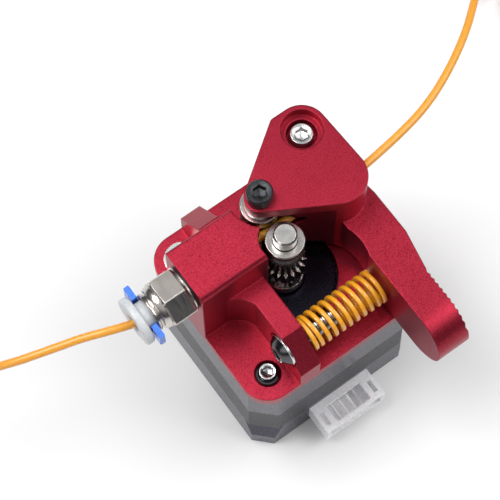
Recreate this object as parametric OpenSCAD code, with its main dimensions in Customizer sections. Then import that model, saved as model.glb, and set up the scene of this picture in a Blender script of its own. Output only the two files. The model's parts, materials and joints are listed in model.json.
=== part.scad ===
// Extruder gear assembly: a 42 mm stepper motor with a red base block, a swinging
// idler lever, two hobbed gears, a compression spring and a push-in tube fitting.
// Origin: the motor's axis at the motor's bottom face. +Z is the motor shaft.
// +X is the way the filament runs, and the pivot stands at +X, +Y.

/* [Motor] */
// Side of the motor's square body
motor_w = 42.3; // [42:0.1:42.6]
// Length of the motor's body
motor_h = 33; // [32:1:40]
// Spacing of the four screw holes
hole_pitch = 31; // [30.8:0.1:31.2]
// Shaft diameter
shaft_d = 5; // [4.9:0.05:5]
// Height of the shaft's end above the motor's face
shaft_top = 26.7; // [26:0.1:27.5]

/* [Gears] */
// Distance between the two gear axes
centre_distance = 8.6; // [8.6:0.05:8.8]
// Teeth on each gear
teeth = 17; // [17:1:17]
// Tip radius of the teeth
tip_r = 4.65; // [4.5:0.05:4.65]
// Height of the filament's centreline above the motor's face
filament_z = 20.4; // [20:0.1:20.8]
// Filament diameter
filament_d = 1.75; // [1.6:0.05:1.8]

/* [Base block] */
// Side of the square base plate
plate_w = 42.6; // [42.4:0.1:43]
// Thickness of the base plate
plate_t = 2.7; // [2.5:0.1:2.8]
// Height of the cross wall above the motor's face
wall_top = 15.8; // [15:0.1:17]
// Height of the filament block above the motor's face
block_top = 25.4; // [24.5:0.1:25.4]

/* [Lever] */
// Height of the lever's top face above the motor's face
lever_top = 28.9; // [28.5:0.1:30]
// Height of the lever's underside above the motor's face
lever_bottom = 3.5; // [3.2:0.1:4]
// Height of the arm's top face above the motor's face
arm_top = 19; // [18:0.5:20]
// Y of the arm's rounded tip
arm_tip_y = -35.4; // [-38:0.2:-34]

/* [Spring] */
// Outer diameter of the spring
spring_d = 8; // [7:0.5:8]
// Wire diameter of the spring
wire_d = 0.9; // [0.7:0.1:1]
// Turns of the spring
turns = 11; // [9:1:12]

/* [Hidden] */
$fn = 64;
eps = 0.02;

half = hole_pitch / 2;
corner_leg = 4.6;
rear_corner_leg = 3.7;
stack = [-22, -11.3];
bell_r = 18.5;
pins = 4;
pin_pitch = 2;
pin_x = -3.3;
pin_w = 0.6;
bearing = [16, 5, 5];
bearing_seat_r = 9.6;
rotor_r = 10.8;
cup_h = 3.9;
screw_r = 1.5;
screw_hole_r = 1.6;
head_r = 2.75;
head_h = 3;
pivot = [half, half];
pivot_head_top = 26.8;
bush_r = 2.5;
run_gap = 0.03;
idler_at = [0, centre_distance];
filament_y = centre_distance / 2;
filament_r = filament_d / 2;
jaw_gap = [7.6, 25.7];
spur = [8, 13];
spring_at = [-15.1, 10.3];
wall_x = [-11.25, -6.4];
wall_end = 14.5;
spot_face = 0.35;
tension_r = 2;
wall_low = 8;
block_y = [-1.5, 11.1];
arm_inner_x = 12.8;
hollow = [2.4, -7.8];
hollow_r = 11;
arm_nose_r = (arm_top - lever_bottom) / 2;
open_angle = -5;
block_face = -plate_w / 2;
filament_ends = [-34.4, 22.5];

// Routes of the loose filament, in millimetres from the motor's axis and underside
feed_route = [
    [filament_ends[0], filament_y, motor_h + filament_z], [-39, 5.8, 53.6], [-44, 7.8, 53],
    [-50, 9.8, 52], [-56, 12, 50.5], [-60, 14, 48.6], [-65, 17, 44], [-71, 20, 36],
    [-76, 22.5, 25], [-80, 24.5, 14], [-85, 26.5, 5.5], [-92, 29, filament_r]
];
outlet_route = [
    [filament_ends[1], filament_y, motor_h + filament_z], [28, 5, 53.4], [34, 5.9, 53.4],
    [40, 7.2, 53.3], [46, 9.3, 53], [53, 12.7, 52.5], [60, 17, 51.5], [66.5, 22, 49.6],
    [72, 26.5, 45.5], [77, 30, 37], [82, 33, 25], [86, 35, 14], [91, 37, 5.5],
    [97.5, 39, filament_r]
];

red = [0.62, 0.06, 0.12];
steel = [0.72, 0.72, 0.74];
dark = [0.12, 0.12, 0.13];
brass_gold = [0.85, 0.6, 0.15];

// ---------- helpers ----------

// Everything drawn by the children stands on the motor's face
module on_face(z = 0) translate([0, 0, motor_h + z]) children();

// The four screw places of the motor
module at_corners() for (x = [-half, half]) for (y = [-half, half]) translate([x, y, 0]) children();

// Tangent points of two circles [x, y, r], on the outer side of a counter-clockwise outline
function tangent(a, b) =
    let (d = [b[0] - a[0], b[1] - a[1]])
    let (u = d / norm(d))
    let (s = (a[2] - b[2]) / norm(d))
    let (n = [u[1], -u[0]] * sqrt(1 - s * s) + u * s)
    [[a[0], a[1]] + n * a[2], [b[0], b[1]] + n * b[2]];

// A plate's outline round a counter-clockwise list of circles [x, y, r]
module rounded(circles) {
    count = len(circles);
    polygon([
        for (i = [0:count - 1]) for (p = tangent(circles[i], circles[(i + 1) % count])) p
    ]);
    for (c = circles) translate([c[0], c[1]]) circle(r = c[2]);
}

// The motor's square outline with cut corners
module motor_outline(leg = corner_leg) {
    a = motor_w / 2;
    b = a - leg;
    polygon([[-a, -b], [-b, -a], [b, -a], [a, -b], [a, b], [b, a], [-b, a], [-a, b]]);
}

// A ring between two radii
module ring(outer, inner, height) {
    difference() {
        cylinder(r = outer, h = height);
        translate([0, 0, -eps]) cylinder(r = inner, h = height + 2 * eps);
    }
}

// A socket screw: its head stands on z = 0 and its shank hangs below
module socket_screw(r, length, head = head_r, tall = head_h, key = 2.5) {
    difference() {
        union() {
            translate([0, 0, -length]) cylinder(r = r, h = length);
            cylinder(r = head, h = tall);
        }
        translate([0, 0, tall * 0.45]) cylinder(d = key / cos(30), h = tall, $fn = 6);
    }
}

// A button screw: a domed head on z = 0 and a shank below
module button_screw(r, length, head, tall, key) {
    dome_r = (head * head + tall * tall) / (2 * tall);
    difference() {
        union() {
            translate([0, 0, -length]) cylinder(r = r, h = length + 0.1);
            intersection() {
                cylinder(r = head + 1, h = tall + 1);
                translate([0, 0, tall - dome_r]) sphere(r = dome_r);
            }
        }
        translate([0, 0, tall * 0.4]) cylinder(d = key / cos(30), h = tall, $fn = 6);
    }
}

// Outline of a spur gear with straight-sided teeth, one tooth on +X
module spur_outline() {
    root_r = tip_r - 0.9;
    step = 360 / teeth;
    wide = 6.4;
    narrow = 2.3;
    polygon([
        for (i = [0:teeth - 1])
            for (p = [[root_r, -wide], [tip_r, -narrow], [tip_r, narrow], [root_r, wide]])
                p[0] * [cos(i * step + p[1]), sin(i * step + p[1])]
    ]);
}

// The turned body shared by both gears: spur band, neck, hob with its groove, and a collar
module gear_body(low_z, low_r, top_z) {
    neck_r = 3.7;
    hob_r = 4;
    hob = [18.6, 22];
    collar_r = 4.08;
    groove_r = 0.93;
    difference() {
        union() {
            translate([0, 0, low_z]) cylinder(r = low_r, h = spur[0] - low_z);
            translate([0, 0, spur[0]]) linear_extrude(spur[1] - spur[0]) spur_outline();
            translate([0, 0, spur[1]]) cylinder(r = neck_r, h = hob[0] - spur[1]);
            translate([0, 0, hob[0]]) cylinder(r = hob_r, h = hob[1] - hob[0]);
            translate([0, 0, hob[1]]) cylinder(r = collar_r, h = top_z - hob[1]);
        }
        translate([0, 0, filament_z]) rotate_extrude()
            translate([filament_y, 0]) circle(r = groove_r, $fn = 32);
    }
}

// A point on a smooth curve through four points
function bend(p, t) =
    0.5 * (2 * p[1] + (p[2] - p[0]) * t + (2 * p[0] - 5 * p[1] + 4 * p[2] - p[3]) * t * t
        + (3 * p[1] - p[0] - 3 * p[2] + p[3]) * t * t * t);

// The smooth curve through a route's points
function smooth(route, steps) =
    let (last = len(route) - 1)
    [for (i = [0:last - 1]) for (k = [0:steps - (i == last - 1 ? 0 : 1)])
        bend([route[max(i - 1, 0)], route[i], route[i + 1], route[min(i + 2, last)]], k / steps)];

// A round tube swept along points; up is any direction that the points never follow
module tube(points, r, sides, up) {
    last = len(points) - 1;
    rings = [
        for (i = [0:last])
            let (d = points[min(i + 1, last)] - points[max(i - 1, 0)])
            let (t = d / norm(d))
            let (c = cross(t, up))
            let (a = c / norm(c))
            let (b = cross(t, a))
            for (k = [0:sides - 1])
                points[i] + r * (a * cos(k * 360 / sides) + b * sin(k * 360 / sides))
    ];
    quads = [
        for (i = [0:last - 1]) for (k = [0:sides - 1])
            let (n = (k + 1) % sides)
            [i * sides + k, (i + 1) * sides + k, (i + 1) * sides + n, i * sides + n]
    ];
    caps = [[for (k = [0:sides - 1]) k], [for (k = [sides - 1:-1:0]) last * sides + k]];
    polyhedron(rings, concat(quads, caps));
}

// ---------- motor ----------

module motor_front_bell() {
    boss_r = 11;
    boss_h = 2;
    cavity_h = 8.3;
    seat_z = -7;
    shaft_hole_r = 3.4;
    dish_r = 4.3;
    color("silver") on_face() difference() {
        union() {
            translate([0, 0, stack[1]]) linear_extrude(-stack[1]) motor_outline();
            cylinder(r = boss_r, h = boss_h);
        }
        difference() {
            translate([0, 0, stack[1] - eps]) cylinder(r = bell_r, h = cavity_h + eps);
            translate([0, 0, seat_z]) cylinder(r = bearing_seat_r, h = 4.1);
        }
        translate([0, 0, seat_z - 0.1]) cylinder(d = bearing[0], h = bearing[2] + 0.1);
        translate([0, 0, -3]) cylinder(r = shaft_hole_r, h = 6);
        translate([0, 0, 0.8]) cylinder(r = dish_r, h = 2);
        translate([0, 0, stack[1] - eps]) at_corners() cylinder(r = screw_hole_r, h = 12);
    }
}

module motor_stator() {
    pole_r = 11.1;
    pole_w = 5;
    pole_start = 9;
    stack_h = stack[1] - stack[0];
    color("dimgray") on_face(stack[0]) difference() {
        union() {
            difference() {
                linear_extrude(stack_h) motor_outline();
                translate([0, 0, -eps]) cylinder(r = bell_r - 0.6, h = stack_h + 1);
            }
            for (i = [0:7]) rotate(i * 45)
                translate([pole_start, -pole_w / 2, 0])
                    cube([bell_r - pole_start, pole_w, stack_h]);
        }
        translate([0, 0, -eps]) cylinder(r = pole_r, h = stack_h + 1);
        translate([0, 0, -eps]) at_corners() cylinder(r = screw_hole_r, h = stack_h + 1);
    }
}

module motor_windings() {
    coil = [4, 8, 14.6];
    core = [5.1, 10.8];
    middle_r = 15;
    color("chocolate") on_face((stack[0] + stack[1]) / 2)
        for (i = [0:7]) rotate(i * 45) translate([middle_r, 0, 0]) difference() {
            cube(coil, center = true);
            cube([coil[0] + 1, core[0], core[1]], center = true);
        }
}

// The rear bell, whose corners slope in under the stator
module motor_rear_bell() {
    bell_h = motor_h + stack[0];
    floor_t = 3;
    seat_z = 2;
    head_pocket = 2.6;
    slope = [[25.6, bell_h + 0.1], [27.4, 4.4]];
    header_slot = [15.9, 5, 6.2];
    color("silver") difference() {
        linear_extrude(bell_h) motor_outline(rear_corner_leg);
        for (a = [45:90:315]) rotate([90, 0, a]) linear_extrude(20, center = true)
            polygon([slope[0], slope[1], [motor_w, slope[1][1]], [motor_w, slope[0][1]]]);
        difference() {
            translate([0, 0, floor_t]) cylinder(r = bell_r, h = bell_h);
            cylinder(r = bearing_seat_r, h = 8);
        }
        translate([0, 0, seat_z]) cylinder(d = bearing[0], h = bell_h);
        translate([0, 0, -eps]) at_corners() cylinder(r = screw_hole_r, h = bell_h + 1);
        translate([0, 0, -eps]) at_corners() cylinder(r = head_r + 0.2, h = head_pocket);
        translate([-8.1, -22, 2.9]) cube(header_slot);
    }
}

module motor_case_screws() {
    color("gray") at_corners() translate([0, 0, 2.5]) rotate([180, 0, 0])
        socket_screw(screw_r, motor_h - 10.5, head_r, 2.2);
}

module front_bearing() {
    color(steel) on_face(-7) ring(bearing[0] / 2, shaft_d / 2 + run_gap, bearing[2]);
}

module rear_bearing() {
    color(steel) translate([0, 0, 3]) ring(bearing[0] / 2, shaft_d / 2 + run_gap, bearing[2]);
}

module wave_washer() {
    color("goldenrod") translate([0, 0, 2.2]) ring(7.6, 5, 0.6);
}

module motor_shaft() {
    foot = 2.4;
    chamfer = 0.4;
    color("silver") {
        translate([0, 0, foot]) cylinder(d = shaft_d, h = motor_h + shaft_top - chamfer - foot);
        on_face(shaft_top - chamfer) cylinder(d1 = shaft_d, d2 = shaft_d - 2 * chamfer, h = chamfer);
    }
}

module rotor_core() {
    color("gray") {
        on_face(stack[0]) ring(rotor_r, shaft_d / 2, cup_h);
        on_face(stack[1] - cup_h) ring(rotor_r, shaft_d / 2, cup_h);
    }
}

module rotor_magnet() {
    magnet_r = rotor_r - 1;
    color(dark) on_face(stack[0] + cup_h)
        ring(magnet_r, shaft_d / 2, stack[1] - stack[0] - 2 * cup_h);
}

module connector_header() {
    shell = [15.7, 9, 6];
    mouth = [13.5, 6.6, 4];
    window = [9, 4.4, 3];
    key_slot = [1, 3, 3];
    color("ivory") difference() {
        translate([-8, -28, 3]) cube(shell);
        translate([-6.9, -28.1, 4]) cube(mouth);
        translate([-4.6, -27.2, 7]) cube(window);
        for (x = [-7.1, 5.8]) translate([x, -26.6, 7]) cube(key_slot);
        for (i = [0:pins - 1])
            translate([pin_x - 0.05 + i * pin_pitch, -22, 5.65]) cube([pin_w + 0.1, 4, pin_w + 0.1]);
    }
}

module connector_pins() {
    color("gainsboro") for (i = [0:pins - 1])
        translate([pin_x + i * pin_pitch, -27, 5.7]) cube([pin_w, 10, pin_w]);
}

// ---------- base ----------

// The base plate, centred on the motor
module base_plate() {
    corner_r = 6;
    c = plate_w / 2 - corner_r;
    linear_extrude(plate_t)
        rounded([[-c, -c, corner_r], [c, -c, corner_r], [c, c, corner_r], [-c, c, corner_r]]);
}

// The wall across the plate, with sloped ends
module cross_wall() {
    e = plate_w / 2;
    translate([wall_x[0], 0, 0]) rotate([90, 0, 90]) linear_extrude(wall_x[1] - wall_x[0])
        polygon([
            [-e, 0.5], [e, 0.5], [e, wall_low], [wall_end, wall_top], [-wall_end, wall_top],
            [-e, wall_low]
        ]);
}

// The filament block, one long top edge rounded and the other thinly chamfered
module filament_block() {
    fillet = 1.6;
    bevel = 0.4;
    low = block_y[0];
    high = block_y[1];
    translate([block_face, 0, 0]) rotate([90, 0, 90]) linear_extrude(22) polygon(concat(
        [[low, 0.5], [high, 0.5], [high, block_top - bevel], [high - bevel, block_top]],
        [for (a = [90:10:180]) [low + fillet, block_top - fillet] + fillet * [cos(a), sin(a)]]
    ));
}

// The rounded inside corner where the wall meets the block
module inside_corner() {
    r = 6;
    inset = 5.8;
    translate([wall_x[0] - inset, block_y[0] - inset, 1]) linear_extrude(wall_top - 1) difference() {
        square(inset + 1);
        circle(r = r);
    }
}

// Room for the gears and for the idler as the lever opens
module gear_room() {
    foot = 2.2;
    translate([0, 0, foot]) cylinder(r = 5.4, h = 40);
    for (a = [0, open_angle])
        translate([pivot[0], pivot[1], 0]) rotate(a)
            translate([idler_at[0] - pivot[0], idler_at[1] - pivot[1], foot])
                cylinder(r = 4.9, h = 40);
}

module base_block() {
    thread_r = 3;
    opening_r = 11.5;
    color(red) on_face() difference() {
        union() {
            base_plate();
            cross_wall();
            filament_block();
            inside_corner();
        }
        translate([0, 0, -1]) cylinder(r = opening_r, h = 4);
        gear_room();
        translate([0, 0, -eps]) at_corners() cylinder(r = screw_hole_r, h = plate_t + 1);
        translate([block_face - 1, filament_y, filament_z]) rotate([0, 90, 0]) {
            cylinder(r = thread_r, h = 9);
            cylinder(r = 1.2, h = 24);
        }
        translate([wall_x[0] - 1, spring_at[0], spring_at[1]]) rotate([0, 90, 0])
            cylinder(r = tension_r + run_gap, h = 8);
        translate([wall_x[0] + spot_face - 4, spring_at[0], spring_at[1]]) rotate([0, 90, 0])
            cylinder(r = 4.2, h = 4);
    }
}

module base_screws() {
    color("silver") {
        translate([-half, -half, motor_h + plate_t]) button_screw(screw_r, 6, 2.85, 1.7, 2);
        translate([-half, half, motor_h + plate_t + 0.6]) socket_screw(screw_r, 6.6, 2.75, 3);
    }
}

module base_washer() {
    color("silver") translate([-half, half, motor_h + plate_t]) ring(3.6, screw_hole_r, 0.6);
}

module pivot_screw() {
    color("silver") translate([pivot[0], pivot[1], motor_h + pivot_head_top - head_h])
        socket_screw(screw_r, 28, 2.6);
}

module pivot_bush() {
    color("lightgray") translate([pivot[0], pivot[1], motor_h + plate_t])
        ring(bush_r, screw_hole_r, pivot_head_top - head_h - plate_t);
}

// ---------- tube fitting ----------

// Children stand on the block's end face and point out along -X
module fitting_axis(z = 0)
    translate([block_face - z, filament_y, motor_h + filament_z]) rotate([0, -90, 0]) children();

module fitting_body() {
    hex = 10;
    hex_turn = -10;
    color("silver") fitting_axis() difference() {
        union() {
            translate([0, 0, -6.8]) cylinder(r = 2.95, h = 8);
            translate([0, 0, 0.4]) cylinder(r = 5.1, h = 0.5);
            translate([0, 0, 0.8]) rotate(hex_turn) cylinder(d = hex / cos(30), h = 5.7, $fn = 6);
            translate([0, 0, 6.4]) cylinder(r1 = 4.9, r2 = 4.5, h = 1.6);
            translate([0, 0, 7.9]) cylinder(r = 4, h = 1.3);
        }
        translate([0, 0, -7]) cylinder(r = 1.2, h = 20);
        translate([0, 0, -3]) cylinder(r = 2.05, h = 20);
        translate([0, 0, 1.7]) cylinder(r = 3.3, h = 20);
    }
}

module fitting_oring() {
    color(dark) fitting_axis() ring(4.7, 3.05, 0.4);
}

module fitting_seal() {
    color(dark) fitting_axis(2.3) rotate_extrude() translate([2.7, 0])
        square([0.9, 1.1], center = true);
}

module release_collar() {
    sleeve_r = 3.1;
    color("gainsboro") fitting_axis() difference() {
        union() {
            translate([0, 0, 3.6]) cylinder(r = sleeve_r, h = 8);
            translate([0, 0, 11]) linear_extrude(1.8)
                intersection() {
                    circle(r = 5.4);
                    square([8.4, 12], center = true);
                }
        }
        translate([0, 0, 2]) cylinder(r = 2.1, h = 14);
    }
}

// A horseshoe clip with a wing at each end, open at the top
module lock_clip() {
    clip_r = 4.9;
    throat = 3.35;
    wing_y = 6.1;
    wing_top = 2.6;
    color([0.1, 0.35, 0.85]) fitting_axis(9.5) linear_extrude(1.1) difference() {
        union() {
            circle(r = clip_r);
            translate([wing_top - 3.4, -wing_y]) square([3.4, 2 * wing_y]);
        }
        circle(r = throat);
        translate([0, -throat]) square([8, 2 * throat]);
        translate([wing_top, -8]) square([8, 16]);
    }
}

// ---------- tension ----------

module tension_screw() {
    color(dark) translate([wall_x[0] + spot_face - run_gap, spring_at[0], motor_h + spring_at[1]])
        rotate([0, -90, 0]) button_screw(tension_r, 13, 3.8, 2.2, 2.5);
}

module spring() {
    gap = 0.04;
    r = (spring_d - wire_d) / 2;
    x0 = wall_x[1] + wire_d / 2 + gap;
    x1 = arm_inner_x - wire_d / 2 - gap;
    close = wire_d + gap;
    rings = 18;
    active = turns - 2;
    color(brass_gold) on_face() tube([
        for (i = [0:turns * rings])
            let (n = i / rings)
            let (a = n * 360)
            let (mid = min(max(n - 1, 0), active) / active)
            [
                x0 + close * min(n, 1) + (x1 - x0 - 2 * close) * mid + close * max(n - turns + 1, 0),
                spring_at[0] + r * cos(a), spring_at[1] + r * sin(a)
            ]
    ], wire_d / 2, 6, [1, 0, 0]);
}

// ---------- lever ----------

// The lever's triangle, seen from above
module triangle_outline()
    rounded([
        [idler_at[0], idler_at[1], 3.2], [15.3, 3.2, 6.1], [pivot[0], pivot[1], 5.4],
        [12, 19.9, 1]
    ]);

// The arm seen from above, with the finger ridges on its outer side
module arm_outline() {
    ridge = 1.3;
    ridge_h = 0.3;
    start_y = -20.4;
    outer_x = 20.3;
    count = 11;
    difference() {
        polygon(concat(
            [[arm_inner_x, 3], [arm_inner_x, arm_tip_y - 1], [outer_x, arm_tip_y - 1]],
            [for (i = [count:-1:1]) for (p = [[outer_x, -0.5], [outer_x - ridge_h, 0]])
                [p[0], start_y + (p[1] - i + 0.5) * ridge]],
            [[outer_x, start_y], [22, -11.5], [22, -1], [21.4, 3.2]]
        ));
        translate(hollow) circle(r = hollow_r);
    }
}

// The arm's side view: a bar with a full round end
module arm_profile()
    translate([10, 0, 0]) rotate([90, 0, 90]) linear_extrude(14) {
        translate([arm_tip_y + arm_nose_r, lever_bottom]) square([60, arm_top - lever_bottom]);
        translate([arm_tip_y + arm_nose_r, lever_bottom + arm_nose_r]) circle(r = arm_nose_r);
    }

module lever_arm() {
    tall = lever_top - lever_bottom;
    jaw_h = jaw_gap[1] - jaw_gap[0];
    gear_clear_r = 5.6;
    hub_clear_r = 4.6;
    foot_extra = 1.2;
    head_seat_z = 23.5;
    recess_z = 26.6;
    color(red) on_face() difference() {
        union() {
            translate([0, 0, lever_bottom]) linear_extrude(tall) triangle_outline();
            intersection() {
                translate([0, 0, lever_bottom]) linear_extrude(arm_top - lever_bottom) arm_outline();
                arm_profile();
            }
        }
        // Room for the two gears between the jaws, and round the drive gear's hub
        translate([idler_at[0], idler_at[1], jaw_gap[0]]) cylinder(r = gear_clear_r, h = jaw_h);
        translate([-6, 4, jaw_gap[0]]) cube([7, 12, jaw_h]);
        translate([0, 0, jaw_gap[0]]) cylinder(r = gear_clear_r, h = jaw_h);
        translate([0, 0, lever_bottom - 1]) cylinder(r = hub_clear_r, h = 6);
        // The hollow that sweeps round from the gears to the arm, wider at its foot
        translate([hollow[0], hollow[1], lever_bottom - 1])
            cylinder(r = hollow_r, h = jaw_gap[1] - lever_bottom + 1);
        translate([hollow[0], hollow[1], lever_bottom - 1])
            cylinder(r = hollow_r + foot_extra, h = jaw_gap[0] - lever_bottom + 0.6);
        // Idler axle
        translate([idler_at[0], idler_at[1], lever_bottom - 1]) cylinder(r = screw_hole_r, h = 30);
        // Pivot: running bore, room for the screw's head, and a wide top recess
        translate([pivot[0], pivot[1], lever_bottom - 1]) cylinder(r = bush_r + run_gap, h = 30);
        translate([pivot[0], pivot[1], head_seat_z]) cylinder(r = 3.2, h = 8);
        translate([pivot[0], pivot[1], recess_z]) cylinder(r = 4.35, h = 8);
        // Filament channel
        translate([2, filament_y, filament_z]) rotate([0, 90, 0]) cylinder(r = 2, h = 24);
    }
}

module idler_screw() {
    color(dark) translate([idler_at[0], idler_at[1], motor_h + lever_top])
        socket_screw(screw_r, lever_top - lever_bottom - 0.5);
}

module idler_washer() {
    color("silver") translate([idler_at[0], idler_at[1], motor_h]) {
        translate([0, 0, 24.8]) ring(3, screw_hole_r, jaw_gap[1] - 24.8);
    }
}

module idler_gear() {
    bore = 2.6;
    color(steel) translate([idler_at[0], idler_at[1], motor_h]) difference() {
        rotate(-90 + 180 / teeth) gear_body(7.8, 3.6, 24.7);
        translate([0, 0, 7]) cylinder(r = bore, h = 30);
    }
}

module idler_bearing() {
    color("silver") translate([idler_at[0], idler_at[1], motor_h + 7.8])
        ring(2.6, screw_r + run_gap, 16.9);
}

module drive_gear() {
    color(steel) on_face() difference() {
        rotate(90) gear_body(3, 3.9, 23.4);
        translate([0, 0, 2]) cylinder(d = shaft_d, h = 30);
        translate([0, 0, 5.5]) rotate([90, 0, 0]) cylinder(r = 1.25, h = 8);
    }
}

module gear_set_screw() {
    color(dark) on_face(5.5) rotate([90, 0, 0]) translate([0, 0, shaft_d / 2]) difference() {
        cylinder(r = 1.25, h = 1.5);
        translate([0, 0, 0.7]) cylinder(d = 1.3 / cos(30), h = 2, $fn = 6);
    }
}

// ---------- filament ----------

module filament_core() {
    color("orange") translate([filament_ends[0], filament_y, motor_h + filament_z])
        rotate([0, 90, 0]) cylinder(r = filament_r, h = filament_ends[1] - filament_ends[0]);
}

module filament_feed() {
    color("orange") tube(smooth(feed_route, 3), filament_r, 8, [0, 0, 1]);
}

module filament_outlet() {
    color("orange") tube(smooth(outlet_route, 3), filament_r, 8, [0, 0, 1]);
}

motor_front_bell();
motor_stator();
motor_windings();
motor_rear_bell();
motor_case_screws();
front_bearing();
rear_bearing();
wave_washer();
motor_shaft();
rotor_core();
rotor_magnet();
connector_header();
connector_pins();
base_block();
base_screws();
base_washer();
pivot_screw();
pivot_bush();
fitting_body();
fitting_oring();
fitting_seal();
release_collar();
lock_clip();
tension_screw();
spring();
lever_arm();
idler_screw();
idler_washer();
idler_gear();
idler_bearing();
drive_gear();
gear_set_screw();
filament_core();
filament_feed();
filament_outlet();
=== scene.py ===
import json
import math

import bmesh
import bpy
from mathutils import Matrix, Vector


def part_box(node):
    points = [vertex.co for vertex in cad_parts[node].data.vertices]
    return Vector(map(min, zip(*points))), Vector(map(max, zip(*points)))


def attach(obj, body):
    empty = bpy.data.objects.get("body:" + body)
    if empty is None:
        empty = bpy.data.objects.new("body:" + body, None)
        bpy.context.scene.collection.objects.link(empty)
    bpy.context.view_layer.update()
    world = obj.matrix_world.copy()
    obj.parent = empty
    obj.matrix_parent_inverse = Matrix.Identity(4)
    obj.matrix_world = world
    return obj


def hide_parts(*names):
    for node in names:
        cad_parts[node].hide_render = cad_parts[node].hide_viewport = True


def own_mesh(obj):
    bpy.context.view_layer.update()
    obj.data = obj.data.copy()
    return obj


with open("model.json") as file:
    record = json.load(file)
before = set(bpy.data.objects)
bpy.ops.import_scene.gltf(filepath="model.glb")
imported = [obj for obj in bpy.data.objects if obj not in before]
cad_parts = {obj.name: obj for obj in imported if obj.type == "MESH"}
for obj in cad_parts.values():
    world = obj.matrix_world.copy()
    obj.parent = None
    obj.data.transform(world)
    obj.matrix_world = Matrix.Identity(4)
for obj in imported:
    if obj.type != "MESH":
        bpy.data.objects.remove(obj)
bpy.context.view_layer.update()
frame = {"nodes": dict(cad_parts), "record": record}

MM = 0.001
TAU = 2 * math.pi

# Heights and places of the design, in millimetres, worked out from the frame
BLOCK_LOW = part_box("base_block")[0]
FACE_Z = BLOCK_LOW.z / MM
FITTING_X = BLOCK_LOW.x / MM
IDLER_LOW, IDLER_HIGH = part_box("idler_gear")
IDLER_X = (IDLER_LOW.x + IDLER_HIGH.x) / 2 / MM
CORE_LOW, CORE_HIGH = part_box("filament_core")
FILAMENT_Y = (CORE_LOW.y + CORE_HIGH.y) / 2 / MM
FILAMENT_Z = (CORE_LOW.z + CORE_HIGH.z) / 2 / MM
FILAMENT_D = (CORE_HIGH.z - CORE_LOW.z) / MM
# The filament runs halfway between the two gears' axes
IDLER_Y = 2 * FILAMENT_Y
# The motor's four screw places are at HOLE each way from its axis
HOLE = 15.5


# ---------- camera ----------

def make_camera():
    """The photo's view, fitted to the motor's edges, the screws, the plate and the shaft."""
    data = bpy.data.cameras.new("camera")
    data.lens = 125.7
    data.sensor_width = 36.0
    data.clip_start = 0.01
    data.clip_end = 5
    camera = bpy.data.objects.new("camera", data)
    bpy.context.scene.collection.objects.link(camera)
    right = Vector((0.80997, -0.58640, -0.00464))
    up = Vector((0.55072, 0.75791, 0.34962))
    back = right.cross(up)
    turn = Matrix((right, up, back)).transposed()
    camera.matrix_world = Matrix.Translation(Vector((-0.07688, -0.09688, 0.38171))) @ turn.to_4x4()
    bpy.context.scene.camera = camera


make_camera()


# ---------- materials ----------

def new_material(name, color, metallic, roughness, **inputs):
    """A material, its node tree and its shader; further inputs use _ for a space."""
    material = bpy.data.materials.new(name)
    material.use_nodes = True
    shader = material.node_tree.nodes["Principled BSDF"]
    shader.inputs["Base Color"].default_value = (*color, 1)
    shader.inputs["Metallic"].default_value = metallic
    shader.inputs["Roughness"].default_value = roughness
    for key, value in inputs.items():
        shader.inputs[key.replace("_", " ")].default_value = value
    return material, material.node_tree, shader


def node(tree, kind, **values):
    """A new node, with each value put on the socket or the setting of that name."""
    made = tree.nodes.new(kind)
    for key, value in values.items():
        if key in made.inputs:
            made.inputs[key].default_value = value
        else:
            setattr(made, key, value)
    return made


def coordinates(tree, scale=(1, 1, 1)):
    """Object coordinates in metres, with each axis multiplied by scale."""
    source = node(tree, "ShaderNodeTexCoord")
    mapping = node(tree, "ShaderNodeMapping", Scale=scale)
    tree.links.new(source.outputs["Object"], mapping.inputs["Vector"])
    return mapping.outputs["Vector"]


def noise(tree, where, scale, detail=2.0, rough=0.5):
    made = node(tree, "ShaderNodeTexNoise", Scale=scale, Detail=detail, Roughness=rough)
    tree.links.new(where, made.inputs["Vector"])
    return made.outputs["Fac"]


def ramp(tree, value, stops):
    """A colour ramp through (position, colour) stops."""
    made = node(tree, "ShaderNodeValToRGB")
    elements = made.color_ramp.elements
    while len(elements) < len(stops):
        elements.new(0.5)
    for element, (position, color) in zip(elements, stops):
        element.position = position
        element.color = (*color, 1)
    tree.links.new(value, made.inputs["Fac"])
    return made.outputs["Color"]


def map_range(tree, value, low, high, to_low, to_high):
    made = node(tree, "ShaderNodeMapRange")
    for key, number in (("From Min", low), ("From Max", high), ("To Min", to_low), ("To Max", to_high)):
        made.inputs[key].default_value = number
    tree.links.new(value, made.inputs["Value"])
    return made.outputs["Result"]


def bump(tree, shader, height, distance, strength):
    made = node(tree, "ShaderNodeBump", Distance=distance, Strength=strength)
    tree.links.new(height, made.inputs["Height"])
    tree.links.new(made.outputs["Normal"], shader.inputs["Normal"])


def mix_color(tree, factor, a, b, blend="MIX"):
    """Blends two colours. The factor, a and b are each a value or a socket that gives it."""
    made = node(tree, "ShaderNodeMix", data_type="RGBA", blend_type=blend)
    color_a, color_b = made.inputs[6], made.inputs[7]
    for socket, value in ((made.inputs["Factor"], factor), (color_a, a), (color_b, b)):
        if isinstance(value, bpy.types.NodeSocket):
            tree.links.new(value, socket)
        elif isinstance(value, tuple):
            socket.default_value = (*value, 1)
        else:
            socket.default_value = value
    return made.outputs[2]


def soft_edges(tree, shader, radius):
    """Catches light along sharp edges, as a broken machined edge does. It needs a bump first."""
    edge = node(tree, "ShaderNodeBevel", samples=6, Radius=radius)
    bump_node = shader.inputs["Normal"].links[0].from_node
    tree.links.new(edge.outputs["Normal"], bump_node.inputs["Normal"])


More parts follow.
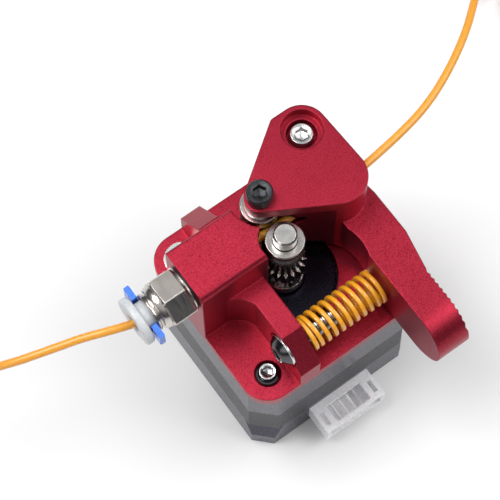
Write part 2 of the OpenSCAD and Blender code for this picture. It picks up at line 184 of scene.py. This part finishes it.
def anodised_red():
    """Bead-blasted aluminium under red dye: fine sparkle, faint cloudiness."""
    material, tree, shader = new_material(
        "anodised_red", (0.45, 0.02, 0.05), 0.85, 0.36, Specular_IOR_Level=0.2
    )
    where = coordinates(tree)
    grain = noise(tree, where, 5200, 2, 0.6)
    cloud = noise(tree, where, 90, 2)
    grain_color = ramp(tree, grain, [(0.3, (0.21, 0.008, 0.02)), (0.7, (0.46, 0.032, 0.06))])
    cloud_color = ramp(tree, cloud, [(0.3, (0.88, 0.86, 0.86)), (0.7, (1.0, 1.0, 1.0))])
    dyed = mix_color(tree, 1, grain_color, cloud_color, "MULTIPLY")
    tree.links.new(dyed, shader.inputs["Base Color"])
    tree.links.new(map_range(tree, grain, 0.3, 0.7, 0.27, 0.42), shader.inputs["Roughness"])
    bump(tree, shader, grain, 0.00006, 0.6)
    soft_edges(tree, shader, 0.0004)
    return material


def cast_alloy(name="bell_alloy", color=(0.06, 0.057, 0.08), rough=0.26):
    """Die-cast alloy with a satin grain: the motor's bells, and the magnet in a darker colour."""
    material, tree, shader = new_material(name, color, 0.8, rough, Specular_IOR_Level=0.25)
    where = coordinates(tree)
    grain = noise(tree, where, 2500, 3, 0.6)
    dark = tuple(c * 0.8 for c in color)
    light = tuple(min(1, c * 1.15) for c in color)
    tree.links.new(ramp(tree, grain, [(0.3, dark), (0.7, light)]), shader.inputs["Base Color"])
    gloss = map_range(tree, grain, 0.3, 0.7, rough - 0.08, rough + 0.1)
    tree.links.new(gloss, shader.inputs["Roughness"])
    bump(tree, shader, grain, 0.00005, 0.4)
    soft_edges(tree, shader, 0.0006)
    return material


def bell_front_boss_painted_shade():
    """The front bell: cast alloy, with painted shade on the raised pilot boss, near-black above the
    face where it sits in the plate's opening.
    """
    material = cast_alloy("bell_front_boss_painted_shade")
    tree = material.node_tree
    shader = tree.nodes["Principled BSDF"]
    where = node(tree, "ShaderNodeSeparateXYZ")
    tree.links.new(node(tree, "ShaderNodeTexCoord").outputs["Object"], where.inputs[0])
    edge = (FACE_Z + 0.05) * MM
    above = map_range(tree, where.outputs["Z"], edge, edge + 0.00002, 0, 1)
    alloy = shader.inputs["Base Color"].links[0].from_socket
    # painted shade: the boss inside the plate's opening is coloured near-black
    tree.links.new(mix_color(tree, above, alloy, (0.014, 0.013, 0.022)), shader.inputs["Base Color"])
    return material


def lamination():
    """A stack of 0.5 mm steel sheets under dark varnish."""
    material, tree, shader = new_material(
        "lamination", (0.02, 0.019, 0.026), 0.8, 0.32, Specular_IOR_Level=0.2
    )
    where = coordinates(tree, (0, 0, 1))
    wave = node(tree, "ShaderNodeTexWave", Scale=1000, Distortion=0.0)
    wave.bands_direction = "Z"
    tree.links.new(where, wave.inputs["Vector"])
    tone = ramp(tree, wave.outputs["Fac"], [(0.1, (0.008, 0.008, 0.011)), (0.9, (0.02, 0.019, 0.026))])
    tree.links.new(tone, shader.inputs["Base Color"])
    bump(tree, shader, wave.outputs["Fac"], 0.00004, 0.5)
    return material


def turned_steel(
    name, color=(0.56, 0.55, 0.53), rough=0.2, bands=9000, stretch=(0.05, 0.05, 1), relief=0.12
):
    """Machined metal: its fine lines run along the axes where stretch is small."""
    material, tree, shader = new_material(name, color, 1.0, rough)
    fine = noise(tree, coordinates(tree, stretch), bands, 2)
    smudge = noise(tree, coordinates(tree), 250, 2)
    dark = tuple(c * 0.88 for c in color)
    tree.links.new(ramp(tree, smudge, [(0.3, dark), (0.75, color)]), shader.inputs["Base Color"])
    tree.links.new(map_range(tree, fine, 0.3, 0.7, rough, rough + 0.1), shader.inputs["Roughness"])
    bump(tree, shader, fine, 0.00001, relief)
    soft_edges(tree, shader, 0.00012)
    return material


def black_oxide():
    """Blackened screws, with a slight random grain from black to dark grey."""
    material, tree, shader = new_material("black_oxide", (0.02, 0.02, 0.023), 0.7, 0.32)
    grain = noise(tree, coordinates(tree), 2600, 2)
    tree.links.new(
        ramp(tree, grain, [(0.3, (0.02, 0.02, 0.022)), (0.8, (0.05, 0.052, 0.058))]),
        shader.inputs["Base Color"],
    )
    tree.links.new(map_range(tree, grain, 0.3, 0.7, 0.3, 0.4), shader.inputs["Roughness"])
    bump(tree, shader, grain, 0.00001, 0.15)
    soft_edges(tree, shader, 0.00015)
    return material


def moulded(name, color, rough, sss=0.0, coat=0.0):
    """Moulded plastic with a faint skin texture."""
    material, tree, shader = new_material(
        name, color, 0.0, rough, Subsurface_Weight=sss, Subsurface_Scale=0.002, Coat_Weight=coat
    )
    grain = noise(tree, coordinates(tree), 1500, 2)
    dark = tuple(c * 0.88 for c in color)
    tree.links.new(ramp(tree, grain, [(0.3, dark), (0.7, color)]), shader.inputs["Base Color"])
    gloss = map_range(tree, grain, 0.3, 0.7, rough - 0.05, rough + 0.07)
    tree.links.new(gloss, shader.inputs["Roughness"])
    bump(tree, shader, grain, 0.00002, 0.3)
    return material


MATERIALS = {
    "anodised_red": anodised_red(),
    "bell_alloy": cast_alloy(),
    "bell_front_boss_painted_shade": bell_front_boss_painted_shade(),
    "lamination": lamination(),
    "winding_copper": turned_steel("winding_copper", (0.5, 0.18, 0.06), 0.3, 4000),
    "steel": turned_steel("steel"),
    "gear_steel": turned_steel("gear_steel", (0.5, 0.47, 0.45), 0.17),
    # a darker copy of gear_steel: painted shade on the gears' sides
    "gear_painted_shade": turned_steel("gear_painted_shade", (0.17, 0.155, 0.155), 0.22),
    "zinc_steel": turned_steel("zinc_steel", (0.72, 0.72, 0.72), 0.16, 6000),
    # a darker grey copy of the steel: painted shade inside the base screw's socket, and the tension
    # screw's shank
    "screw_steel": turned_steel("screw_steel", (0.3, 0.3, 0.31), 0.14, 6000),
    # a near-black copy of the steel: painted dark reflection on the button heads' cones
    "steel_painted_dark_reflection": turned_steel("steel_painted_dark_reflection", (0.1, 0.1, 0.105), 0.14, 6000),
    "pin_tin": turned_steel("pin_tin", (0.9, 0.9, 0.9), 0.4, 5000, (1, 0.05, 1)),
    "black_oxide": black_oxide(),
    "magnet_black": cast_alloy("magnet_black", (0.05, 0.05, 0.055), 0.4),
    "nickel": turned_steel("nickel", (0.62, 0.58, 0.54), 0.17, 5000, (1, 0.05, 0.05), 0.08),
    "header_white": moulded("header_white", (0.9, 0.9, 0.92), 0.3, 0.05, 0.2),
    "seal_rubber": moulded("seal_rubber", (0.015, 0.015, 0.015), 0.6),
    "collar_grey": moulded("collar_grey", (0.55, 0.57, 0.59), 0.35, 0.15),
    "clip_blue": moulded("clip_blue", (0.02, 0.16, 0.75), 0.28, 0.1, 0.3),
    "spring_yellow": moulded("spring_yellow", (0.82, 0.36, 0.02), 0.3, 0.0, 0.5),
    "filament_amber": moulded("filament_amber", (0.78, 0.34, 0.035), 0.34, 0.15, 0.2),
}
NODE_LOOKS = {"motor_front_bell": "bell_front_boss_painted_shade", "connector_pins": "pin_tin"}


def dress_frame():
    """Gives each CAD node the look of its slot, or the one that NODE_LOOKS names."""
    for row in frame["record"]["subparts"]:
        name = row["node"]
        look = MATERIALS[NODE_LOOKS.get(name, row["material_slot"])]
        mesh_slots = frame["nodes"][name].material_slots
        if not len(mesh_slots):
            frame["nodes"][name].data.materials.append(look)
        for mesh_slot in mesh_slots:
            mesh_slot.material = look


dress_frame()


# ---------- mesh helpers ----------

def finish_mesh(name, bm, look, body, smooth_angle=35):
    """Turns a bmesh in millimetres into a piece that rides on a body."""
    bmesh.ops.recalc_face_normals(bm, faces=bm.faces)
    bmesh.ops.scale(bm, vec=(MM, MM, MM), verts=bm.verts)
    mesh = bpy.data.meshes.new(name)
    bm.to_mesh(mesh)
    bm.free()
    mesh.materials.append(MATERIALS[look])
    piece = bpy.data.objects.new(name, mesh)
    bpy.context.scene.collection.objects.link(piece)
    for face in mesh.polygons:
        face.use_smooth = True
    mesh.set_sharp_from_angle(angle=math.radians(smooth_angle))
    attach(piece, body)
    return piece


def stand_in(replaced, name, bm, look, body, smooth_angle=35):
    """A finished piece that takes a CAD node's place."""
    piece = finish_mesh(name, bm, look, body, smooth_angle)
    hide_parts(replaced)
    return piece


def recolour(piece, look, wanted):
    """Gives another look to the faces that wanted(centre, normal) picks, in millimetres."""
    piece.data.materials.append(MATERIALS[look])
    index = len(piece.data.materials) - 1
    for face in piece.data.polygons:
        if wanted(face.center / MM, face.normal):
            face.material_index = index


def grid_faces(bm, rows, closed_rows=False):
    """Joins closed rows of vertices with quads, and the last row to the first if asked."""
    count = len(rows)
    width = len(rows[0])
    for i in range(count if closed_rows else count - 1):
        upper = rows[(i + 1) % count]
        for k in range(width):
            n = (k + 1) % width
            bm.faces.new((rows[i][k], rows[i][n], upper[n], upper[k]))


def capped_faces(bm, rows):
    """Joins rows of vertices, caps the first and the last, and gives the two caps."""
    grid_faces(bm, rows)
    return [bm.faces.new(rows[0]), bm.faces.new(list(reversed(rows[-1])))]


def turned(profile, sides, shape=None, hollow=False):
    """A bmesh turned from (radius, height) pairs about +Z.

    shape(i, angle) scales ring i. A hollow profile runs round a bore, back to where it began.
    """
    bm = bmesh.new()
    rows = []
    for i, (radius, height) in enumerate(profile):
        row = []
        for k in range(sides):
            angle = TAU * k / sides
            r = radius * (shape(i, angle) if shape else 1)
            row.append(bm.verts.new((r * math.cos(angle), r * math.sin(angle), height)))
        rows.append(row)
    if hollow:
        grid_faces(bm, rows, closed_rows=True)
    else:
        capped_faces(bm, rows)
    return bm


def hexagon(angle):
    """The radius of a hexagon of unit corner radius at an angle."""
    within = angle % (TAU / 6) - TAU / 12
    return math.cos(math.pi / 6) / math.cos(within)


def place(bm, origin, axis):
    """Turns a bmesh so that its +Z points along axis, and moves it to origin, in millimetres."""
    turn = Vector((0, 0, 1)).rotation_difference(Vector(axis)).to_matrix().to_4x4()
    bmesh.ops.transform(bm, matrix=Matrix.Translation(Vector(origin)) @ turn, verts=bm.verts)


# ---------- filament ----------

FEED_ROUTE = [
    (CORE_LOW.x / MM, FILAMENT_Y, FILAMENT_Z), (-39, 5.8, 53.6), (-44, 7.8, 53),
    (-50, 9.8, 52), (-56, 12, 50.5), (-60, 14, 48.6), (-65, 17, 44), (-71, 20, 36),
    (-76, 22.5, 25), (-80, 24.5, 14), (-85, 26.5, 5.5), (-92, 29, FILAMENT_D / 2),
]
OUTLET_ROUTE = [
    (CORE_HIGH.x / MM, FILAMENT_Y, FILAMENT_Z), (28, 5, 53.4), (34, 5.9, 53.4),
    (40, 7.2, 53.3), (46, 9.3, 53), (53, 12.7, 52.5), (60, 17, 51.5), (66.5, 22, 49.6),
    (72, 26.5, 45.5), (77, 30, 37), (82, 33, 25), (86, 35, 14), (91, 37, 5.5),
    (97.5, 39, FILAMENT_D / 2),
]


def smooth_route(route, steps):
    """The same curve as the design: it passes through every point of the route."""
    points = [Vector(p) for p in route]
    last = len(points) - 1
    made = []
    for i in range(last):
        p = [points[max(i - 1, 0)], points[i], points[i + 1], points[min(i + 2, last)]]
        for k in range(steps + (i == last - 1)):
            t = k / steps
            made.append(0.5 * (
                2 * p[1] + (p[2] - p[0]) * t + (2 * p[0] - 5 * p[1] + 4 * p[2] - p[3]) * t * t
                + (3 * p[1] - p[0] - 3 * p[2] + p[3]) * t ** 3
            ))
    return made


def round_bar(points, radius):
    """A bmesh of a round bar carried along points, closed at both ends."""
    sides = 20
    section = [
        (radius * math.cos(TAU * k / sides), radius * math.sin(TAU * k / sides)) for k in range(sides)
    ]
    bm = bmesh.new()
    rows = []
    last = len(points) - 1
    for i, point in enumerate(points):
        along = (points[min(i + 1, last)] - points[max(i - 1, 0)]).normalized()
        side = along.cross(Vector((0, 0, 1))).normalized()
        other = along.cross(side)
        rows.append([bm.verts.new(point + side * a + other * b) for a, b in section])
    capped_faces(bm, rows)
    return bm


def filament_strand(name, route, replaced):
    """A stiff strand of filament on a route in millimetres; the rest is in metres."""
    points = [p * MM for p in smooth_route(route, 8)]
    bm = round_bar([p / MM for p in points], FILAMENT_D / 2)
    piece = stand_in(replaced, name, bm, "filament_amber", "housing", 60)


filament_strand("feed_strand", FEED_ROUTE, "filament_feed")
filament_strand("outlet_strand", OUTLET_ROUTE, "filament_outlet")


# ---------- spring ----------

# The spring's axis, and the faces of the wall and the arm that it presses on
SPRING_Y = -15.1
SPRING_Z = FACE_Z + 10.3
WALL_X = -6.4
ARM_X = 12.8


def wire_section(wide, tall, corner_r):
    """A rectangle with rounded corners, as (along the spring, outward) pairs."""
    section = []
    for along, out, start in ((1, 1, 0), (-1, 1, 90), (-1, -1, 180), (1, -1, 270)):
        for k in range(4):
            a = math.radians(start + k * 30)
            section.append((
                along * (wide / 2 - corner_r) + corner_r * math.cos(a),
                out * (tall / 2 - corner_r) + corner_r * math.sin(a),
            ))
    return section


def make_spring():
    """A die spring of flat wire with closed ends, along X between the wall and the arm."""
    turns = 11
    steps = 48
    wire_x = 0.95
    wire_r = 1.15
    outer = 4.0
    middle = outer - wire_r / 2
    gap = 0.03
    start = WALL_X + wire_x / 2 + gap
    end = ARM_X - wire_x / 2 - gap
    closed = wire_x + 0.02
    active = turns - 2
    section = wire_section(wire_x, wire_r, corner_r=0.28)
    bm = bmesh.new()
    rows = []
    for i in range(turns * steps + 1):
        n = i / steps
        angle = n * TAU
        mid = min(max(n - 1, 0), active) / active
        last = max(n - turns + 1, 0)
        x = start + closed * min(n, 1) + (end - start - 2 * closed) * mid + closed * last
        row = []
        for dx, dr in section:
            y = SPRING_Y + (middle + dr) * math.cos(angle)
            z = SPRING_Z + (middle + dr) * math.sin(angle)
            row.append(bm.verts.new((x + dx, y, z)))
        rows.append(row)
    capped_faces(bm, rows)
    piece = stand_in("spring", "spring_coil", bm, "spring_yellow", "housing", 50)
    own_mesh(piece)


make_spring()


# ---------- gears ----------

# Both gears have the same levels, from the foot up; heights are above the motor's face
BEVEL = 0.18
FOOT_TOP = 5.4
UNDERCUT_R = 3.45
TEETH = 17
ROOT_R = 3.75
TIP_R = 4.68
TIP_CUT = 0.2
SPUR_LOW = 8.0
SPUR_HIGH = 13.0
WAIST_R = 3.74
HOB_TEETH = 51
HOB_R = 4.0
HOB_DEPTH = 0.22
HOB_LOW = 18.4
HOB_HIGH = 22.2
# The groove's centre lies GROOVE_OUT outside the hobbed band
GROOVE_R = 0.93
GROOVE_OUT = 0.35
COLLAR_LOW = 22.3
COLLAR_R = 4.08


def tooth_height(angle, count, share, slope):
    """0 in a gap and 1 on a tooth, with sloped flanks; angle in degrees from a tooth's middle."""
    step = 360 / count
    away = abs((angle + step / 2) % step - step / 2) / step
    return min(1, max(0, (share / 2 + slope - away) / slope))


def plain(radius):
    """A round level. Like spur and hobbed, it gives a function from an angle to a radius."""
    return lambda angle: radius


def spur(tip_r):
    """A level of the spur teeth, cut from tip_r down to ROOT_R."""
    def radius_at(angle):
        return ROOT_R + (tip_r - ROOT_R) * tooth_height(angle, TEETH, share=0.1, slope=0.22)
    return radius_at


def hobbed(radius):
    """A level of the fine teeth that grip the filament."""
    def radius_at(angle):
        return radius - HOB_DEPTH * (1 - tooth_height(angle, HOB_TEETH, share=0.3, slope=0.15))
    return radius_at


def gear_levels(bottom, bottom_r, top, with_foot):
    """(height, function from an angle to a radius) pairs, from the bottom to the top."""
    levels = [(bottom, plain(bottom_r - BEVEL))]
    if with_foot:
        levels += [
            (bottom + BEVEL, plain(bottom_r)), (FOOT_TOP - BEVEL, plain(bottom_r)),
            (FOOT_TOP, plain(bottom_r - BEVEL)), (FOOT_TOP + 0.02, plain(UNDERCUT_R)),
        ]
    levels += [
        (SPUR_LOW - 0.05, plain(UNDERCUT_R)), (SPUR_LOW, plain(UNDERCUT_R)),
        (SPUR_LOW, spur(TIP_R - TIP_CUT)), (SPUR_LOW + 0.2, spur(TIP_R)),
        (SPUR_HIGH - 0.15, spur(TIP_R)), (SPUR_HIGH, spur(TIP_R - TIP_CUT)),
        (SPUR_HIGH + 0.02, plain(WAIST_R)), (15.5, plain(3.62)), (18.0, plain(WAIST_R)),
    ]
    hob_steps = 12
    for k in range(hob_steps + 1):
        z = HOB_LOW + k * (HOB_HIGH - HOB_LOW) / hob_steps
        away = z - (FILAMENT_Z - FACE_Z)
        deep = math.sqrt(max(0, GROOVE_R ** 2 - away * away))
        levels.append((z, hobbed(HOB_R - max(0, deep - GROOVE_OUT))))
    levels += [
        (COLLAR_LOW - 0.05, plain(3.8)), (COLLAR_LOW, plain(COLLAR_R - BEVEL)),
        (COLLAR_LOW + BEVEL, plain(COLLAR_R)), (top - BEVEL, plain(COLLAR_R)),
        (top, plain(COLLAR_R - BEVEL)),
    ]
    return levels


def make_gear(replaced, name, body, centre, turn, levels, bore):
    """A gear through levels, round a bore. The sides of its teeth, waist and hobbed band get a darker
    copy of the steel as painted shade.
    """
    columns = TEETH * 36
    bottom = levels[0][0]
    top = levels[-1][0]
    bm = bmesh.new()
    rows = []
    for z, radius_at in levels + [(top, plain(bore)), (bottom, plain(bore))]:
        row = []
        for k in range(columns):
            angle = 360 * k / columns
            r = radius_at(angle)
            x = centre[0] + r * math.cos(math.radians(angle + turn))
            y = centre[1] + r * math.sin(math.radians(angle + turn))
            row.append(bm.verts.new((x, y, FACE_Z + z)))
        rows.append(row)
    grid_faces(bm, rows, closed_rows=True)
    piece = stand_in(replaced, name, bm, "gear_steel", body, 30)
    low = FACE_Z + FOOT_TOP + 0.1
    high = FACE_Z + HOB_HIGH
    # painted shade: faces between the foot and the hob's top that don't face up get the darker steel,
    # and upward faces stay bright
    recolour(piece, "gear_painted_shade", lambda at, normal: low < at.z < high and normal.z < 0.9)


make_gear(
    "drive_gear", "drive_gear_cut", "rotor", centre=(0, 0), turn=90,
    levels=gear_levels(bottom=3.0, bottom_r=4.25, top=23.4, with_foot=True), bore=2.62,
)
make_gear(
    "idler_gear", "idler_gear_cut", "idler", centre=(IDLER_X, IDLER_Y), turn=-90 + 180 / TEETH,
    levels=gear_levels(bottom=7.8, bottom_r=3.5, top=24.7, with_foot=False), bore=2.6,
)


# ---------- screws ----------

M3_R = 1.5
M4_R = 2
# The cap screws' heads
CAP_R = 2.75
CAP_H = 3
CAP_KEY = 2.5
# The block's plate, and the washer on it
PLATE_T = 2.7
WASHER_T = 0.6


def threaded_shank(length, radius):
    """Profile of a shank from its tip up, with thread ridges."""
    pitch = 0.5
    depth = 0.16
    lead_in = 0.35
    profile = [(radius - 0.45, -length), (radius - 0.1, -length + lead_in)]
    z = -length + lead_in
    while z < -0.4:
        profile += [
            (radius - depth, z + pitch * 0.3), (radius, z + pitch * 0.5),
            (radius, z + pitch * 0.65),
        ]
        z += pitch
    return profile


def socket_head(length, head_r, knurled=True):
    """An M3 cap screw with a chamfered edge, a hexagon socket and, if asked, a knurled rim."""
    bevel = 0.28
    band = 0.08
    knurl = 0.018
    corner = CAP_KEY / 2 / math.cos(math.pi / 6)
    floor_z = CAP_H * 0.45
    profile = threaded_shank(length, M3_R) + [(M3_R, 0), (head_r - 0.15, 0), (head_r, 0.15)]
    first = len(profile) - 1
    profile += [
        (head_r, CAP_H - bevel - 0.25), (head_r - band, CAP_H - bevel - 0.15),
        (head_r - band, CAP_H - bevel), (head_r - bevel - band, CAP_H),
    ]
    rim = len(profile)
    profile += [
        (corner + 0.28, CAP_H), (corner, CAP_H - 0.22), (corner, floor_z), (0.25, floor_z - 0.35),
    ]

    def shape(i, angle):
        if knurled and first <= i <= first + 1:
            return 1 - knurl * (0.5 + 0.5 * math.cos(36 * angle))
        if rim + 1 <= i <= rim + 2:
            return hexagon(angle)
        return 1

    return turned(profile, 144, shape)


def button_head(shank_r, length, head_r, tall, key):
    """A button head screw: a cone round a flat ring, with a hexagon socket in it."""
    corner = key / 2 / math.cos(math.pi / 6)
    ring = corner + 0.55
    profile = threaded_shank(length, shank_r)
    profile += [(shank_r, 0.02), (head_r - 0.1, 0.02), (head_r, 0.12), (head_r, 0.3)]
    profile += [
        (ring + (head_r - ring) * 0.45, tall * 0.72), (ring + 0.08, tall - 0.06), (ring, tall),
    ]
    rim = len(profile)
    profile += [
        (corner + 0.2, tall), (corner, tall - 0.2), (corner, tall * 0.35), (0.25, tall * 0.2),
    ]
    return turned(
        profile, 144, lambda i, angle: hexagon(angle) if rim + 1 <= i <= rim + 2 else 1
    )


def painted_highlight_ring(radius, width, height):
    """A thin bright ring round a head's edge: a painted highlight."""
    profile = [
        (radius + 0.03, 0.05), (radius + 0.03, height), (radius - 0.1, height + 0.16),
        (radius - width, height + 0.2), (radius - width, 0.05),
    ]
    return turned(profile, 96, hollow=True)


def make_axle_screw(node_name, at, length, head_r, knurled, look, body):
    """A cap screw with its head as high as in the design."""
    head_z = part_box(node_name)[1].z / MM
    bm = socket_head(length, head_r, knurled)
    place(bm, (*at, head_z - CAP_H), (0, 0, 1))
    stand_in(node_name, node_name + "_turned", bm, look, body)


def make_base_screws():
    """A button head screw in the near corner, and a cap screw on a washer behind the block."""
    plate_z = FACE_Z + PLATE_T
    button = button_head(M3_R, length=6, head_r=2.85, tall=1.7, key=2)
    place(button, (-HOLE, -HOLE, plate_z), (0, 0, 1))
    piece = stand_in(
        "base_screws", "base_button_screw", button, "zinc_steel", "housing"
    )

    def from_axis(at):
        return math.hypot(at.x + HOLE, at.y + HOLE)

    # painted dark reflection: the head's cone gets the near-black copy of the steel
    recolour(piece, "steel_painted_dark_reflection", lambda at, normal: from_axis(at) > 1.72)
    # painted shade: the inside of the socket gets the darker grey steel
    recolour(piece, "screw_steel", lambda at, normal: from_axis(at) < 1.2)
    cap = socket_head(6.6, CAP_R)
    place(cap, (-HOLE, HOLE, plate_z + WASHER_T), (0, 0, 1))
    stand_in("base_screws", "base_socket_screw", cap, "zinc_steel", "housing")


def make_tension_screw():
    """The M4 button head screw through the wall: its head near-black as a painted dark reflection, with
    a bright ring round it as a painted highlight.
    """
    length = 13
    head_r = 3.8
    head_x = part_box("tension_screw")[1].x / MM - length
    origin = (head_x, SPRING_Y, SPRING_Z)
    screw = button_head(M4_R, length, head_r, tall=2.2, key=2.5)
    edge = painted_highlight_ring(head_r, width=0.35, height=0.35)
    for bm in (screw, edge):
        place(bm, origin, (-1, 0, 0))
    piece = stand_in(
        "tension_screw", "tension_screw_turned", screw, "screw_steel", "tensioner"
    )
    # painted dark reflection: the head gets the near-black copy of the steel
    recolour(piece, "steel_painted_dark_reflection", lambda at, normal: at.x < head_x)
    # painted highlight: a bright steel ring round the head's edge
    stand_in(
        "tension_screw", "tension_screw_painted_highlight", edge, "zinc_steel", "tensioner"
    )


make_axle_screw("pivot_screw", (HOLE, HOLE), 28, 2.6, False, "zinc_steel", "housing")
make_axle_screw("idler_screw", (IDLER_X, IDLER_Y), 24.9, CAP_R, True, "black_oxide", "lever")
make_base_screws()
make_tension_screw()


# ---------- tube fitting ----------

def make_fitting():
    """The nickel body: washer face, chamfered hexagon, domed barrel and rolled lip."""
    across_flats = 10
    corner = across_flats / 2 / math.cos(math.pi / 6)
    chamfer = 0.9
    trim = 0.96
    profile = [
        (1.2, -6.8), (2.6, -6.8), (2.95, -6.3), (2.95, 0.4), (5.0, 0.4), (5.15, 0.5),
        (5.15, 0.8), (4.6, 0.95),
    ]
    hex_first = len(profile)
    profile += [
        (chamfer * corner, 0.95), (corner, 1.35), (corner, 6.1), (chamfer * corner, 6.5),
    ]
    hex_last = len(profile) - 1
    profile += [
        (4.85, 6.5), (4.85, 6.7), (4.75, 7.3), (4.45, 7.8), (4.0, 8.0), (3.95, 8.3),
        (4.2, 8.5), (4.25, 8.8), (4.1, 9.1), (3.6, 9.2), (3.3, 9.0), (3.3, 1.7),
        (2.05, 1.7), (2.05, -3), (1.2, -3),
    ]
    hex_turn = math.radians(80)

    def shape(i, angle):
        if not hex_first <= i <= hex_last:
            return 1
        full = hexagon(angle + hex_turn)
        return full if hex_first < i < hex_last else min(1.0, full / chamfer * trim)

    bm = turned(profile, 192, shape, hollow=True)
    place(bm, (FITTING_X, FILAMENT_Y, FILAMENT_Z), (-1, 0, 0))
    stand_in("fitting_body", "fitting_body_turned", bm, "nickel", "housing", 25)


def make_collar():
    """The release collar: a sleeve with a thick oval finger disc, bevelled all round."""
    profile = [
        (2.1, 3.6), (3.0, 3.6), (3.1, 3.7), (3.1, 11.0), (4.95, 11.0), (5.25, 11.1), (5.4, 11.4),
        (5.4, 12.4), (5.25, 12.7), (4.95, 12.8), (2.5, 12.8), (2.1, 12.5),
    ]
    flatten = 0.84
    disc_from = 4
    sides = 120
    bm = bmesh.new()
    rows = []
    for radius, out in profile:
        squeeze = flatten if radius > disc_from else 1
        row = []
        for k in range(sides):
            angle = TAU * k / sides
            y = FILAMENT_Y + radius * math.cos(angle)
            z = FILAMENT_Z + radius * squeeze * math.sin(angle)
            row.append(bm.verts.new((FITTING_X - out, y, z)))
        rows.append(row)
    grid_faces(bm, rows, closed_rows=True)
    stand_in(
        "release_collar", "release_collar_disc", bm, "collar_grey", "collar", 50
    )


def clip_outline():
    """The horseshoe seen along the fitting, as (y, z) pairs from the fitting's axis."""
    outer, inner = 4.9, 3.35
    wing_y, wing_low, wing_high = 6.4, -2.0, 2.4
    outline = []
    start = math.asin(-wing_low / outer)
    for k in range(33):
        a = math.pi + start + (math.pi - 2 * start) * k / 32
        outline.append((outer * math.cos(a), outer * math.sin(a)))
    outline += [(wing_y, wing_low), (wing_y, wing_high), (inner, wing_high), (inner, 0)]
    for k in range(1, 24):
        a = -math.pi * k / 24
        outline.append((inner * math.cos(a), inner * math.sin(a)))
    outline += [(-inner, 0), (-inner, wing_high), (-wing_y, wing_high), (-wing_y, wing_low)]
    return outline


def make_clip():
    """The blue horseshoe clip, open upwards, with a thick wing at each end."""
    near_out, far_out = 9.32, 10.58
    bevel = 0.12
    outline = clip_outline()
    bm = bmesh.new()
    rows = [
        [bm.verts.new((FITTING_X - out, FILAMENT_Y + y, FILAMENT_Z + z)) for y, z in outline]
        for out in (near_out, far_out)
    ]
    caps = capped_faces(bm, rows)
    rim = [edge for cap in caps for edge in cap.edges]
    bmesh.ops.bevel(bm, geom=rim, offset=bevel, segments=2, affect="EDGES", clamp_overlap=True)
    stand_in("lock_clip", "lock_clip_horseshoe", bm, "clip_blue", "clip", 40)


make_fitting()
make_collar()
make_clip()


# ---------- light and floor ----------

def make_floor():
    """The pale surface that the part stands on, a hair below it."""
    bpy.ops.mesh.primitive_plane_add(size=6, location=(0, 0, -0.0002))
    floor = bpy.context.object
    floor.name = "floor"
    material, tree, shader = new_material("floor", (0.8, 0.8, 0.8), 0.0, 0.9)
    cloud = noise(tree, coordinates(tree), 3)
    tone = ramp(tree, cloud, [(0, (0.78, 0.78, 0.78)), (1, (0.81, 0.81, 0.81))])
    tree.links.new(tone, shader.inputs["Base Color"])
    floor.data.materials.append(material)


def area_light(name, position, target, size, power):
    """A rectangular light in metres and watts, turned to its target."""
    data = bpy.data.lights.new(name, "AREA")
    data.shape = "RECTANGLE"
    data.size, data.size_y = size
    data.energy = power
    light = bpy.data.objects.new(name, data)
    bpy.context.scene.collection.objects.link(light)
    light.location = position
    light.rotation_euler = (Vector(target) - Vector(position)).to_track_quat("-Z", "Y").to_euler()


def make_light():
    """A soft studio: light from above, and darker sides that give the metal its shape."""
    world = bpy.data.worlds.new("studio")
    bpy.context.scene.world = world
    world.use_nodes = True
    tree = world.node_tree
    background = tree.nodes["Background"]
    background.inputs["Strength"].default_value = 1.0
    direction = node(tree, "ShaderNodeSeparateXYZ")
    tree.links.new(node(tree, "ShaderNodeTexCoord").outputs["Generated"], direction.inputs[0])
    sky = ramp(tree, direction.outputs["Z"], [
        (0.0, (0.04, 0.04, 0.05)), (0.45, (0.12, 0.12, 0.13)), (0.8, (0.6, 0.6, 0.6)),
    ])
    tree.links.new(sky, background.inputs["Color"])
    centre = (0, 0, 0.045)
    area_light("key", (-0.22, 0.22, 0.68), centre, (0.4, 0.4), 4.2)
    area_light("fill", (0.35, -0.2, 0.55), centre, (0.5, 0.4), 2.4)
    area_light("rim", (-0.55, -0.1, 0.25), centre, (0.3, 0.2), 0.3)
    bpy.context.scene.view_settings.view_transform = "Standard"


make_floor()
make_light()
